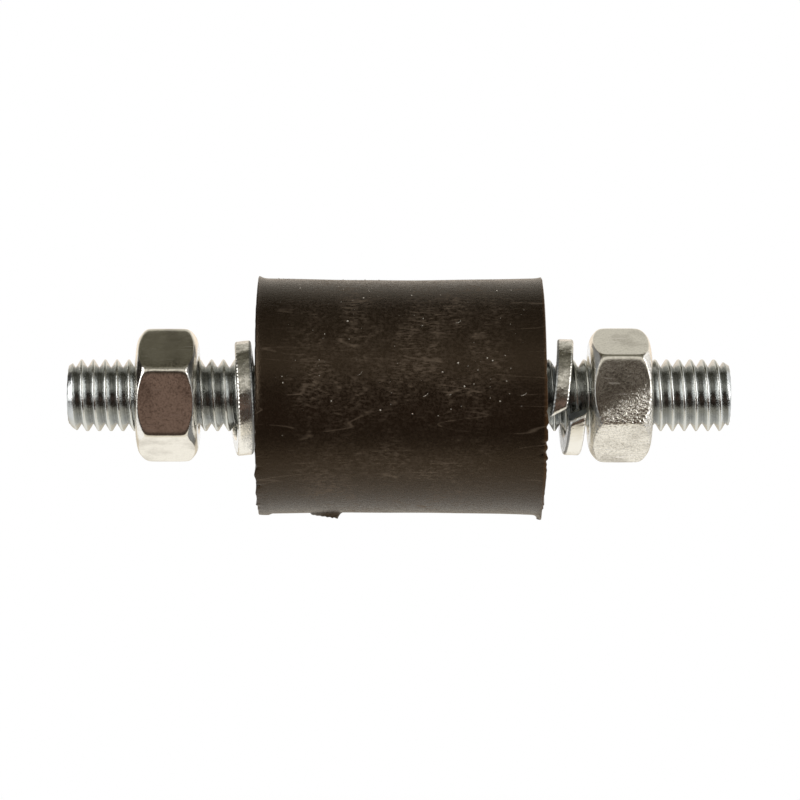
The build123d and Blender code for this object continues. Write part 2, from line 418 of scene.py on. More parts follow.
def moulded_rubber(colours):
    """Natural rubber with carbon black, moulded: a warm brown-black with a satin skin.

    Pale scuffs lie along the body in patches, a few long curved scratches cross it, and the
    right rim is browner.
    """
    material, add = new_material("moulded_natural_rubber")
    mm = places_in_mm(add)
    along = add(VECTOR, [mm, (0.36, 1.0, 1.0)], "MULTIPLY")
    # scuffs 0.2 mm wide and nearly a millimetre long
    scuff = add(NOISE, {"Vector": along, "Scale": 5.2, "Detail": 5.0, "Roughness": 0.7})
    # patches of scuffs and bloom 3 mm across
    patch = add(NOISE, {"Vector": mm, "Scale": 0.32, "Detail": 4.0, "Roughness": 0.65})
    # mottled skin, 0.3 mm
    mottle = add(NOISE, {"Vector": mm, "Scale": 3.4, "Detail": 5.0, "Roughness": 0.75})
    # long scratches follow the contours of a smooth field that is drawn out along the body
    drawn = add(VECTOR, [mm, (0.13, 1.0, 1.0)], "MULTIPLY")
    field = add(NOISE, {"Vector": drawn, "Scale": 0.7, "Detail": 1.0})
    off_line = add(MATH, [field, 0.5], "SUBTRACT")
    distance = add(MATH, [off_line], "ABSOLUTE")
    contour = add(RANGE, [distance, 0.003, 0.016, 1.0, 0.0])
    kept = add(RANGE, [patch, 0.48, 0.56])
    scratch = add(MATH, [contour, kept], "MULTIPLY")
    # fewer pale marks at the ends and in a band along the lower front, so these are darker
    parts = add(SPLIT, [mm]).outputs
    reach = add(MATH, [parts[0]], "ABSOLUTE")
    ends = add(RANGE, [reach, 6.5, 10.5, 1.0, 0.12], interpolation_type="SMOOTHSTEP")
    above = add(MATH, [parts[2], -3.0], "SUBTRACT")
    off_band = add(MATH, [above], "ABSOLUTE")
    band = add(RANGE, [off_band, 0.0, 3.4, 0.25, 1.0], interpolation_type="SMOOTHSTEP")
    worn = add(MATH, [ends, band], "MULTIPLY")
    bloom = add(RANGE, [patch, 0.4, 0.62])
    stroke = add(RANGE, [scuff, 0.48, 0.66, 0.0, 1.15])
    mottled = add(RANGE, [mottle, 0.46, 0.7, 0.0, 0.34])
    strokes = add(MATH, [bloom, stroke, mottled], "MULTIPLY_ADD")
    worn_strokes = add(MATH, [strokes, worn], "MULTIPLY")
    pale = add(MATH, [scratch, 0.6, worn_strokes], "MULTIPLY_ADD", use_clamp=True)
    skin_colour = add(MIX, {0: pale, 6: colours.rubber, 7: colours.rubber_bloom}, data_type="RGBA")
    rim = add(RANGE, [parts[0], RUBBER_END - 0.3, RUBBER_END - 0.05])
    # the tint fades from the cut edge into the moulded end
    edge = add(RANGE, [distance_out(add, mm, ACROSS), 9.3, 9.9, 0.25])
    tint = add(MATH, [rim, edge], "MULTIPLY")
    stain = add(MATH, [tint, mottle], "MULTIPLY")
    final = add(MIX, {0: stain, 6: skin_colour.outputs[2], 7: colours.rubber_stain}, data_type="RGBA")
    # scuffed skin is matt and clean skin has a satin gloss
    gloss = add(RANGE, [pale, 0.0, 1.0, 0.25, 0.6])
    uneven = add(RANGE, [mottle, 0.3, 0.7, -0.06, 0.08])
    rough = add(MATH, [gloss, uneven], "ADD")
    height = add(MATH, [scuff, 0.8, mottle], "MULTIPLY_ADD")
    bump = add("ShaderNodeBump", {"Strength": 0.5, "Distance": 0.05 * MM, "Height": height})
    shader = add(
        PRINCIPLED,
        {
            "Base Color": final.outputs[2], "Roughness": rough, "IOR": 1.5, "Specular IOR Level": 0.42,
            "Specular Tint": linear("#ffe0bc"), "Sheen Weight": 0.1, "Sheen Roughness": 0.22,
            "Sheen Tint": linear("#d6b488"), "Normal": bump,
        },
    )
    add(SURFACE, {"Surface": shader})
    return material


def settled_dust(colours):
    """Dust and lint: a pale matt grey that stands out on the dark rubber."""
    material, add = new_material("settled_dust")
    shader = add(PRINCIPLED, {"Base Color": colours.dust, "Roughness": 0.9})
    add(SURFACE, {"Surface": shader})
    return material


SPECKS, HAIRS = 0.7, 0.016  # on each square millimetre of rubber


def dust_tree():
    """Node tree that scatters specks and short curved hairs over the mesh it is given."""
    sockets = {
        "Geometry": ["Surface"],
        "Float": ["Speck Radius"],
        "Int": ["Seed"],
        "Material": ["Finish"],
    }
    tree, add = new_tree("scattered_dust", sockets, "Dust")
    given = add("NodeGroupInput").outputs
    where = {"Mesh": given["Surface"], "Seed": given["Seed"]}
    spots = add(SCATTER, {**where, "Density": SPECKS / MM**2})
    speck = add("GeometryNodeMeshIcoSphere", {"Radius": given["Speck Radius"], "Subdivisions": 1})
    size = add(RANDOM, {2: 0.22, 3: 1.2, "Seed": given["Seed"]}, data_type="FLOAT")
    # most specks are small and a few are large
    uneven = add(MATH, [size.outputs[1], 3.2], "POWER")
    specks = add(INSTANCE, {"Points": spots.outputs["Points"], "Instance": speck, "Scale": uneven})
    hair_spots = add(SCATTER, {**where, "Density": HAIRS / MM**2})
    # a hair is an arc half a millimetre long, with its middle near the point that it lies on
    hair_line = add("GeometryNodeCurveArc", {"Resolution": 10, "Radius": 0.5 * MM, "Sweep Angle": 1.1})
    thin = add(MATH, [given["Speck Radius"], 0.28], "MULTIPLY")
    hair_section = add("GeometryNodeCurvePrimitiveCircle", {"Resolution": 5, "Radius": thin})
    hair = add(
        "GeometryNodeCurveToMesh",
        {"Curve": hair_line, "Profile Curve": hair_section, "Fill Caps": True},
    )
    to_middle = add(MOVE, {"Geometry": hair, "Translation": (-0.45 * MM, -0.2 * MM, 0.02 * MM)})
    spot, facing = hair_spots.outputs["Points"], hair_spots.outputs["Rotation"]
    hairs = add(INSTANCE, {"Points": spot, "Instance": to_middle, "Rotation": facing})
    spin = add(RANDOM, {2: 0.0, 3: tau, "Seed": given["Seed"]}, data_type="FLOAT")
    spin_about_z = add(COMBINE, {"Z": spin.outputs[1]})
    turned_hairs = add(
        "GeometryNodeRotateInstances",
        {"Instances": hairs, "Rotation": spin_about_z, "Local Space": True},
    )
    return finish_tree(tree, (specks, turned_hairs), given["Finish"])


# Steel


def zinc(name, zinc_colour, marks):
    """Zinc-plated steel; marks adds what is special to a piece and gives colour, gloss and height."""
    material, add = new_material(name)
    mm = places_in_mm(add)
    base, gloss, height, depth = marks(add, mm, zinc_colour)
    bump = add("ShaderNodeBump", {"Strength": 0.5, "Distance": depth * MM, "Height": height})
    shader = add(PRINCIPLED, {"Base Color": base, "Metallic": 1.0, "Roughness": gloss, "Normal": bump})
    add(SURFACE, {"Surface": shader})
    return material


PLATE_COLUMNS = 192


def end_plate_mesh(name, size, side):
    """Turned disc with broken edges and a hole for the stud."""
    outer, bore, soft = size.plate_diameter / 2, size.thread_diameter / 2, 0.06
    face, back = RUBBER_END, RUBBER_END - size.plate_thickness
    profile = [
        (face, bore + soft),
        (face, (bore + outer) / 2),
        (face, outer - soft),
        (face - soft, outer),
        (back, outer),
        (back, bore),
        (face - soft, bore),
    ]
    stations, radii = [side * x for x, _ in profile], [r for _, r in profile]
    return skin(name, around_x(stations, radii, PLATE_COLUMNS), ring=True)


THREAD_SLOPE = 1.62  # fall of a flank for each step along the stud, as in a 60-degree V
THREAD_FLAT = 1 / 14  # half of a crest's flat, in pitches
THREAD_PHASE = {-1: 0.7, 1: 0.35}  # of a pitch, where the crest lies at angle zero
# Millimetres, at a pitch of 1, that bring a nut's thread from the right stud's to its own stud's
THREAD_SHIFT = {side: THREAD_PHASE[1] - phase for side, phase in THREAD_PHASE.items()}


def thread_radius(size, x, turn):
    """Radius of the right-hand stud's thread at a distance along X and an angle about it."""
    pitch, crest, root = size.thread_pitch, size.thread_diameter / 2, size.thread_root / 2
    from_crest = np.abs((x / pitch - THREAD_PHASE[1] - turn / tau + 0.5) % 1 - 0.5) * pitch
    flank = crest - (from_crest - pitch * THREAD_FLAT) * THREAD_SLOPE
    return np.maximum(np.minimum(crest, flank), root)


def thread_tree():
    """Node tree for a stud: a grid wound round X so that its rows follow the thread's helix.

    A full turn moves a row on by one pitch. Rows past either end shrink to the axis and close it.
    """
    lengths = ("Start", "End", "Pitch", "Crest Radius", "Root Radius", "Tip Radius", "Tip Length")
    sockets = {
        "Geometry": ["Carrier"],
        "Float": [*lengths, "Phase", "Head Radius", "Head Thickness", "Half Turn"],
        "Material": ["Finish"],
    }
    tree, add = new_tree("rolled_stud", sockets, "Stud")
    given = add("NodeGroupInput").outputs
    start, end, pitch = given["Start"], given["End"], given["Pitch"]
    rows_in_a_pitch, columns = 18.0, 84
    reach = add(MATH, [end, start], "SUBTRACT")
    turns = add(MATH, [reach, pitch], "DIVIDE")
    whole = add(MATH, [turns], "CEIL")
    span = add(MATH, [whole, 2.0], "ADD")
    rows = add(MATH, [span, rows_in_a_pitch, 1.0], "MULTIPLY_ADD")
    sheet = add("GeometryNodeMeshGrid", [span, 1.0, rows, columns + 1])
    flat = add(SPLIT, [add("GeometryNodeInputPosition")])
    turn = add(MATH, [flat.outputs[1], 0.5], "ADD")
    half_span = add(MATH, [span, 0.5], "MULTIPLY")
    row = add(MATH, [flat.outputs[0], half_span], "ADD")
    wound = add(MATH, [row, turn], "ADD")
    from_start = add(MATH, [wound, 1.0], "SUBTRACT")
    raw = add(MATH, [from_start, pitch, start], "MULTIPLY_ADD")
    not_low = add(MATH, [raw, start], "MAXIMUM")
    x = add(MATH, [not_low, end], "MINIMUM")
    # rows past an end close in on the axis
    past = add(MATH, [raw, x], "SUBTRACT")
    past_size = add(MATH, [past], "ABSOLUTE")
    past_share = add(MATH, [past_size, pitch], "DIVIDE")
    shrink = add(MATH, [past_share, -1.6, 1.0], "MULTIPLY_ADD", use_clamp=True)
    # distance along X to the nearest crest, in pitches
    in_pitches = add(MATH, [x, pitch], "DIVIDE")
    unwound = add(MATH, [in_pitches, turn], "SUBTRACT")
    shifted = add(MATH, [unwound, given["Phase"]], "SUBTRACT")
    off_crest = add(MATH, [shifted, 0.5], "PINGPONG")
    off_flat = add(MATH, [off_crest, THREAD_FLAT], "SUBTRACT")
    fall = add(MATH, [off_flat, pitch], "MULTIPLY")
    flank = add(MATH, [fall, -THREAD_SLOPE, given["Crest Radius"]], "MULTIPLY_ADD")
    # rolling rounds the crests a little and the roots more
    crested = add(MATH, [flank, given["Crest Radius"], 0.05 * MM], "SMOOTH_MIN")
    rooted = add(MATH, [crested, given["Root Radius"], 0.16 * MM], "SMOOTH_MAX")
    # the bevelled tip cuts the thread down
    to_end = add(MATH, [end, x], "SUBTRACT")
    tip_share = add(MATH, [to_end, given["Tip Length"]], "DIVIDE")
    tip_step = add(MATH, [given["Crest Radius"], given["Tip Radius"]], "SUBTRACT")
    bevel = add(MATH, [tip_share, tip_step, given["Tip Radius"]], "MULTIPLY_ADD")
    tipped = add(MATH, [rooted, bevel, 0.1 * MM], "SMOOTH_MIN")
    radius = add(MATH, [tipped, shrink], "MULTIPLY")
    full_turn = add(MATH, [turn, tau], "MULTIPLY")
    across = add(MATH, [full_turn], "COSINE")
    upward = add(MATH, [full_turn], "SINE")
    y = add(MATH, [radius, across], "MULTIPLY")
    z = add(MATH, [radius, upward], "MULTIPLY")
    where = add(COMBINE, [x, y, z])
    wrapped = add("GeometryNodeSetPosition", {"Geometry": sheet.outputs[0], "Position": where})
    joined = add("GeometryNodeMergeByDistance", {"Geometry": wrapped, "Distance": 0.001 * MM})
    # flat head that the plate holds back
    head = add(
        "GeometryNodeMeshCylinder",
        {"Vertices": 96, "Radius": given["Head Radius"], "Depth": given["Head Thickness"]},
    )
    half_head = add(MATH, [given["Head Thickness"], -0.5, start], "MULTIPLY_ADD")
    head_place = add(COMBINE, [half_head])
    along_x = (0.0, pi / 2, 0.0)
    head_set = add(MOVE, {"Geometry": head, "Translation": head_place, "Rotation": along_x})
    about_z = add(COMBINE, {2: given["Half Turn"]})
    return finish_tree(tree, (joined, head_set), given["Finish"], about_z)


# Depth from the nut's face, and radius of its domed blank there, in millimetres
NUT_DOME = (
    (0.0, 4.27), (0.05, 4.5), (0.12, 4.72), (0.2, 4.9), (0.32, 5.08), (0.5, 5.3),
    (0.64, 5.46), (0.9, 5.64), (1.2, 5.76), (1.5, 5.84), (2.2, 6.2),
)
# The higher, the sharper: the corners between the flats, and the edge between a flat and the dome
NUT_CORNERS, NUT_EDGE = {-1: 38, 1: 60}, 100.0
NUT_COLUMNS, NUT_BORE_ROWS = 420, 84
NUT_FIT = 0.03  # from the stud's thread to the nut's


def nut_mesh(name, size, side, turn_up):
    """Hexagon nut: its flats cut a domed blank, and the stud's own thread runs through its bore."""
    turn = np.arange(NUT_COLUMNS) * tau / NUT_COLUMNS
    normals = pi / 2 + turn_up + radians(30) + radians(60) * np.arange(6)
    facing = np.clip(np.cos(turn[None, :] - normals[:, None]), 0, None)
    sharp = NUT_CORNERS[side]
    hexagon = size.nut_across_flats / 2 / (facing**sharp).sum(0) ** (1 / sharp)
    near, depth = NUT_NEAR[side], size.nut_thickness
    dome_in, dome_out = zip(*NUT_DOME)
    mouth = size.nut_mouth / 2
    stations, radii = [], []

    def blank(back):
        dome = np.interp(back, dome_in, dome_out)
        return (dome**-NUT_EDGE + hexagon**-NUT_EDGE) ** (-1 / NUT_EDGE)

    # rows lie closest where the dome bends most
    dome_steps = np.concatenate([np.linspace(0, 0.36, 15), np.linspace(0.4, 1.9, 32)])
    flat_steps = np.linspace(2.0, depth - 2.0, 8)
    for back in np.concatenate([dome_steps, flat_steps, depth - dome_steps[::-1]]):
        stations.append(near + back)
        radii.append(blank(min(back, depth - back)))
    bore_turn = turn if side > 0 else pi - turn
    for back in [0.0] + list(np.linspace(0.04, depth - 0.04, NUT_BORE_ROWS)) + [depth]:
        x = near + depth - back
        sink = mouth - min(back, depth - back)
        thread = thread_radius(size, x + THREAD_SHIFT[side], bore_turn) + NUT_FIT
        stations.append(x)
        radii.append(np.maximum(thread, sink))
    rows = around_x([side * s for s in stations], radii, NUT_COLUMNS)
    return skin(name, rows, ring=True, crease=50)


# How each lock washer is turned and leans about X, Y and Z, in degrees, and how far its near
# end is kicked out, in millimetres
WASHER_POSES = {
    "left": {"cut": 0.0, "lean_y": -5.6, "lean_z": 3.6, "kick": 0.0},
    "right": {"cut": 197.0, "lean_y": 1.3, "lean_z": 0.0, "kick": 0.2},
}
WASHER_ROWS = 460
# Angles from a cut end to its first rows, in radians
END_STEPS = np.array([0, 0.001, 0.003, 0.006, 0.01, 0.016, 0.024, 0.034, 0.046, 0.06, 0.08])
FLAT_STEP = 0.14  # from point to point on the section's flats
ROLLED_EDGE = 0.42  # radius of the outer edge at the cut ends
BURR_SEED, BURR_REACH, KICK_REACH = 3, 0.2, 4.0  # reaches are along the ring from a cut end
BEAD_PITCH, BEAD_HEIGHT = 0.32, 0.035  # of the beads on the outer edges


def lock_washer_mesh(name, size, side, hole, wide, play, drop, cut, lean_y, lean_z, kick):
    """Split ring: a rolled section along a left-hand helix, with slanted, burred ends."""
    bore, thick = hole / 2, size.washer_thickness
    middle = bore + wide / 2
    near = play + thick / 2 - bore * sin(radians(lean_z))
    far = near + size.washer_rise * (1 - size.washer_cut_gap / tau)
    outline = []
    edge = size.washer_edge
    for out, up, first in ((1, 1, 0), (-1, 1, 90), (-1, -1, 180), (1, -1, 270)):
        corner = out * (wide / 2 - edge), up * (thick / 2 - edge)
        for step in range(7):
            a = radians(first + 15 * step)
            outline.append((corner[0] + edge * cos(a), corner[1] + edge * sin(a)))
    outline = np.array(outline)
    # the flats between the rounded edges are divided so that they shade evenly
    ring = []
    for here, after in zip(outline, np.roll(outline, -1, axis=0)):
        steps = max(1, round(np.hypot(*(after - here)) / FLAT_STEP))
        ring += [here + (after - here) * k / steps for k in range(steps)]
    ring = np.array(ring)
    whole_turn = tau - size.washer_cut_gap
    between = np.linspace(0.1, whole_turn - 0.1, WASHER_ROWS)
    path = np.concatenate([END_STEPS, between, whole_turn - END_STEPS[::-1]])
    random = np.random.default_rng(BURR_SEED + side)
    burr = random.uniform(-0.01, 0.055, (2, len(ring)))
    # the coiling tool left beads along the two outer edges
    outer_edge = np.clip((ring[:, 0] - wide / 2 + edge) / edge, 0, 1)
    face_edge = np.clip((np.abs(ring[:, 1]) - thick / 2 + edge) / edge, 0, 1)
    beaded = 2 * BEAD_HEIGHT * outer_edge * face_edge
    rows = []
    for step in path:
        bead = max(0.0, cos(step * (middle + wide / 2) / BEAD_PITCH * tau + 1.3 * sin(7 * step))) ** 2
        from_end = min(step, whole_turn - step) * middle
        side_burr = burr[0 if step < pi else 1] * max(0.0, 1 - from_end / BURR_REACH)
        growth = 1 + side_burr / np.hypot(*ring.T)
        rise = ring[:, 1] * growth
        at = step + rise * tan(size.washer_cut_slant) / middle
        # the shear rolled the outer edge over at each end
        bend = max(0.0, 1 - from_end / ROLLED_EDGE)
        rolled = ROLLED_EDGE * (1 - (1 - bend**2) ** 0.5) * np.clip(ring[:, 0] / (wide / 2), 0, 1)
        # the wire is a hundredth of a millimetre uneven
        r = middle + ring[:, 0] * growth - rolled + 0.008 * np.sin(23 * step + 3 * ring[:, 0])
        r = r + beaded * bead
        kicked = kick * max(0.0, 1 - step * middle / KICK_REACH) ** 2
        height = size.washer_rise * step / tau + rise - kicked
        rows.append(np.stack([r * np.cos(at), -r * np.sin(at), height], axis=-1))
    rows = np.array(rows)
    lean = Matrix.Rotation(radians(lean_z), 3, "Z") @ Matrix.Rotation(radians(lean_y), 3, "Y")
    axis = lean @ Vector((1, 0, 0))
    start = Vector((0, cos(radians(cut)), sin(radians(cut))))
    start = (start - axis * start.dot(axis)).normalized()
    origin = np.array([RUBBER_END + near if side > 0 else -RUBBER_END - far, 0, -drop])
    frame_axes = np.array([start, axis.cross(start), axis])
    return skin(name, origin + rows @ frame_axes, crease=42)


# Finishes of the steel


def turned_marks(add, mm, base):
    """Turned zinc: fine rings round the stud that fan the light out."""
    radius = distance_out(add, mm, ACROSS)
    # tool marks 0.12 mm apart
    rings = add(NOISE, {"W": radius, "Scale": 8.0, "Detail": 3.0}, noise_dimensions="1D")
    cloud = add(NOISE, {"Vector": mm, "Scale": 0.5, "Detail": 4.0})
    gloss = add(RANGE, [cloud, 0.0, 1.0, 0.24, 0.42])
    return base, gloss, rings, 0.03


def rolled_marks(add, mm, base):
    """Rolled zinc: bright crests, and a darker grey that thickens down the flanks to the roots."""
    radius = distance_out(add, mm, ACROSS)
    cloud = add(NOISE, {"Vector": mm, "Scale": 1.4, "Detail": 5.0, "Roughness": 0.65})
    # the flanks are scuffed in specks of 0.1 mm
    grain = add(NOISE, {"Vector": mm, "Scale": 7.0, "Detail": 4.0})
    # the zinc turns a darker grey down the flanks towards the roots
    depth = add(RANGE, [radius, 2.36, 3.0, 1.0, 0.0])
    uneven = add(MATH, [cloud, 0.5, 0.3], "MULTIPLY_ADD")
    film = add(MATH, [depth, uneven], "MULTIPLY")
    colours = bpy.context.scene.mount_colours
    tinted = add(MIX, {0: film, 6: base, 7: colours.thread_grime}, data_type="RGBA")
    gloss = add(RANGE, [cloud, 0.3, 0.7, 0.12, 0.3])
    return tinted.outputs[2], gloss, grain, 0.03


def bright_marks(add, mm, base):
    """Bright zinc on a cold-formed nut: a fine grain, drawn scratches, and pits at one corner."""
    colours = bpy.context.scene.mount_colours
    cloud = add(NOISE, {"Vector": mm, "Scale": 0.45, "Detail": 3.0})
    # grain of 0.2 mm that dulls the zinc here and there
    grain = add(NOISE, {"Vector": mm, "Scale": 5.0, "Detail": 4.0, "Roughness": 0.8})
    grained = add(RANGE, [grain, 0.46, 0.66])
    # scratches along the stud, drawn when the nut was made
    drawn = add(VECTOR, [mm, (0.1, 1.0, 1.0)], "MULTIPLY")
    scratch = add(NOISE, {"Vector": drawn, "Scale": 3.6, "Detail": 4.0, "Roughness": 0.6})
    line = add(RANGE, [scratch, 0.61, 0.65])
    # pits and dull grains lie thicker towards the right nut's lower outer corner
    slope = add(VECTOR, [mm, (0.45, 0.0, -0.9)], "DOT_PRODUCT").outputs["Value"]
    share = add(RANGE, [slope, -6.0, 11.0, 0.12, 0.5])
    # the flat that faces forwards is the dullest
    height_off = add(MATH, [add(SPLIT, [mm]).outputs[2]], "ABSOLUTE")
    middle = add(RANGE, [height_off, 2.6, 3.2, 0.9, 0.0])
    either = add(MATH, [share, middle], "MAXIMUM")
    film = add(RANGE, [cloud, 0.46, 0.7, 0.0, 0.5])
    dull = add(MATH, [grained, either, film], "MULTIPLY_ADD", use_clamp=True)
    ragged = add(MATH, [grain, 5.0, slope], "MULTIPLY_ADD")
    corner = add(RANGE, [ragged, 11.3, 12.3])
    pit = add(NOISE, {"Vector": mm, "Scale": 5.5, "Detail": 1.0, "Roughness": 0.5})
    level = add(MATH, [pit, 0.5], "SUBTRACT")
    pitted = add(MATH, [corner, level], "MULTIPLY")
    worn = add(MIX, {0: dull, 6: base, 7: colours.nut_dull}, data_type="RGBA")
    tinted = add(MIX, {0: line, 6: worn.outputs[2], 7: colours.nut_speckle}, data_type="RGBA")
    rough = add(MATH, [line, corner], "MAXIMUM")
    gloss = add(RANGE, [rough, 0.0, 1.0, 0.15, 0.2])
    soft = add(MATH, [grain, 0.42, cloud], "MULTIPLY_ADD")
    height = add(MATH, [pitted, 8.5, soft], "MULTIPLY_ADD")
    return tinted.outputs[2], gloss, height, 0.03


def spring_marks(add, mm, base):
    """Zinc on rolled spring wire: dented and specked all over, with grey patches on its upper half that
    are painted shade.
    """
    colours = bpy.context.scene.mount_colours
    dents = add(NOISE, {"Vector": mm, "Scale": 2.6, "Detail": 6.0, "Roughness": 0.7})
    # raised specks 0.3 mm apart, which sparkle
    specks = add("ShaderNodeTexVoronoi", {"Vector": mm, "Scale": 3.2})
    pits = add(RANGE, [specks.outputs["Distance"], 0.0, 0.3, 1.0, 0.0])
    # painted shade: grey patches that grow towards the top darken the upper half
    share = add(RANGE, [add(SPLIT, [mm]).outputs[2], -2.5, 1.0])
    patches = add(RANGE, [dents, 0.4, 0.56, 0.1, 0.85])
    film = add(MATH, [patches, share], "MULTIPLY")
    tinted = add(MIX, {0: film, 6: base, 7: colours.washer_film}, data_type="RGBA")
    gloss = add(RANGE, [dents, 0.3, 0.7, 0.1, 0.28])
    height = add(MATH, [pits, 0.45, dents], "MULTIPLY_ADD")
    return tinted.outputs[2], gloss, height, 0.055


def sheared_marks(add, mm, base):
    """The lock washers' cut ends, torn by the shear and matt."""
    tears = add(NOISE, {"Vector": mm, "Scale": 5.0, "Detail": 4.0})
    gloss = add(RANGE, [tears, 0.0, 1.0, 0.4, 0.6])
    return base, gloss, tears, 0.05


# Operators


class MOUNT_OT_rubber_body(bpy.types.Operator):
    """Makes the moulded rubber body with its lips and gate"""

    bl_idname = "mount.rubber_body"
    bl_label = "Rubber Body"

    def execute(self, context):
        scene = context.scene
        size, counts = in_mm(scene.mount_sizes), scene.mount_counts
        mesh = rubber_mesh(size, counts.tear_seed)
        add_piece("rubber", mesh, moulded_rubber(scene.mount_colours), "rubber", "rubber_body")
        return {"FINISHED"}


class MOUNT_OT_dust(bpy.types.Operator):
    """Scatters dust and lint over the rubber body"""

    bl_idname = "mount.dust"
    bl_label = "Dust"

    def execute(self, context):
        scene = context.scene
        size, counts = scene.mount_sizes, scene.mount_counts
        # the carrier is the rubber without its lips, coarsely
        reach, flare, rows, columns = RUBBER_END - 1.2, 0.17, 20, 48
        stations = np.linspace(-reach, reach, rows)
        radii = [size.waist_diameter / 2 / MM + flare * (x / RUBBER_END) ** 2 for x in stations]
        mesh = skin("dust_carrier", around_x(stations, radii, columns))
        carrier = bpy.data.objects.new("dust_carrier", mesh)
        context.scene.collection.objects.link(carrier)
        finish = settled_dust(scene.mount_colours)
        inputs = {"Speck Radius": size.dust_size, "Seed": counts.dust_seed, "Finish": finish}
        mesh = applied("rubber_dust", carrier, dust_tree(), inputs)
        add_piece("rubber_dust", mesh, finish, "rubber")
        return {"FINISHED"}


class MOUNT_OT_end_plates(bpy.types.Operator):
    """Makes the two steel end plates"""

    bl_idname = "mount.end_plates"
    bl_label = "End Plates"

    def execute(self, context):
        size = in_mm(context.scene.mount_sizes)
        finish = zinc("turned_zinc_plate", context.scene.mount_colours.plate_zinc, turned_marks)
        for hand, side in SIDES.items():
            name = f"end_plate_{hand}"
            add_piece(f"plate_{hand}", end_plate_mesh(name, size, side), finish, "plate_zinc", name)
        return {"FINISHED"}


class MOUNT_OT_studs(bpy.types.Operator):
    """Makes the two threaded studs"""

    bl_idname = "mount.studs"
    bl_label = "Studs"

    def execute(self, context):
        size = context.scene.mount_sizes
        finish = zinc("rolled_zinc_thread", context.scene.mount_colours.stud_zinc, rolled_marks)
        tree = thread_tree()
        for hand, side in SIDES.items():
            carrier = bpy.data.objects.new("stud_carrier", bpy.data.meshes.new("stud_carrier"))
            context.scene.collection.objects.link(carrier)
            inputs = {
                "Start": RUBBER_END * MM - size.plate_thickness,
                "End": STUD_END * MM - (size.right_tip_wear if side > 0 else 0.0),
                "Pitch": size.thread_pitch,
                "Crest Radius": size.thread_diameter / 2,
                "Root Radius": size.thread_root / 2,
                "Tip Radius": size.tip_diameter / 2,
                "Tip Length": size.tip_length,
                "Phase": THREAD_PHASE[side],
                "Head Radius": size.head_diameter / 2,
                "Head Thickness": size.head_thickness,
                "Half Turn": 0.0 if side > 0 else pi,
                "Finish": finish,
            }
            mesh = applied(f"stud_{hand}", carrier, tree, inputs)
            finish_mesh(mesh, crease=55)
            add_piece(f"threaded_stud_{hand}", mesh, finish, "stud_zinc", f"stud_{hand}")
        return {"FINISHED"}


class MOUNT_OT_lock_washers(bpy.types.Operator):
    """Makes the two split lock washers"""

    bl_idname = "mount.lock_washers"
    bl_label = "Lock Washers"

    def execute(self, context):
        size = in_mm(context.scene.mount_sizes)
        colours = context.scene.mount_colours
        finish = zinc("zinc_plated_spring_wire", colours.washer_zinc, spring_marks)
        cut_finish = zinc("sheared_spring_end", colours.washer_end, sheared_marks)
        parts = ("bore", "width", "play", "drop")
        for hand, side in SIDES.items():
            name = f"lock_washer_{hand}"
            given = [getattr(size, f"{hand}_washer_{part}") for part in parts]
            mesh = lock_washer_mesh(name, size, side, *given, **WASHER_POSES[hand])
            mesh.materials.append(finish)
            mesh.materials.append(cut_finish)
            # only the cut ends are made of triangles
            for face in mesh.polygons:
                face.material_index = int(len(face.vertices) == 3)
            add_piece(f"split_washer_{hand}", mesh, finish, "washer_zinc", name)
        return {"FINISHED"}


class MOUNT_OT_nuts(bpy.types.Operator):
    """Makes the two domed hexagon nuts"""

    bl_idname = "mount.nuts"
    bl_label = "Nuts"

    def execute(self, context):
        size = in_mm(context.scene.mount_sizes)
        finish = zinc("bright_zinc_nut", context.scene.mount_colours.nut_zinc, bright_marks)
        for hand, side in SIDES.items():
            name = f"nut_{hand}"
            mesh = nut_mesh(name, size, side, getattr(size, f"{hand}_nut_turn"))
            add_piece(f"hexagon_{name}", mesh, finish, "nut_zinc", name)
        return {"FINISHED"}


class MOUNT_OT_studio(bpy.types.Operator):
    """Makes the pale floor, the soft lights, the dark cards and the camera"""

    bl_idname = "mount.studio"
    bl_label = "Studio"

    def execute(self, context):
        scene = context.scene
        build_world(scene)
        build_floor(scene)
        build_cards(scene)
        build_side_cards(scene)
        build_lamps(scene)
        build_camera(scene)
        scene.view_settings.view_transform = "Standard"
        return {"FINISHED"}


def background_share(add):
    """1 on the rays that should find a plain white background, and 0 on the others."""
    path = add("ShaderNodeLightPath").outputs
    seen = add(MATH, [path["Is Camera Ray"], path["Is Glossy Ray"]], "MAXIMUM")
    return add(MATH, [seen, path["Is Transmission Ray"]], "MAXIMUM")


def banded_glow(name, run, bands, strength):
    """Glow of a card in bands, each with how steeply it rises from the mount and its colour.

    run gives the distance out to a place from the mount, before the rise to it.
    """
    material, add = new_material(name)
    place = add(PLACE).outputs["Object"]
    rise = add(MATH, [add(SPLIT, [place]).outputs[2], run(add, place)], "ARCTAN2")
    low, high = bands[0][0], bands[-1][0]
    share = add(RANGE, [rise, radians(low), radians(high)])
    stops = [((rising - low) / (high - low), linear(hex_colour)) for rising, hex_colour in bands]
    shades = add("ShaderNodeValToRGB", [share], stops=stops)
    glow = add(GLOW, {"Color": shades, "Strength": strength})
    add(SURFACE, {"Surface": glow})
    return material


def put(scene, name, data, *hidden):
    """A thing of the studio, put into the scene and hidden from some kinds of ray."""
    thing = bpy.data.objects.new(name, data)
    scene.collection.objects.link(thing)
    for rays in hidden:
        setattr(thing, f"visible_{rays}", False)
    return thing


def build_world(scene):
    """White surroundings, a little less bright as a light than as a background."""
    world = bpy.data.worlds.new("white_studio")
    scene.world = world
    world.use_nodes = True
    world.node_tree.nodes.clear()
    add = partial(node, world.node_tree)
    strength = add(RANGE, [background_share(add), 0.0, 1.0, 0.85, 1.0])
    sky = add("ShaderNodeBackground", {"Color": WHITE, "Strength": strength})
    add("ShaderNodeOutputWorld", {"Surface": sky})


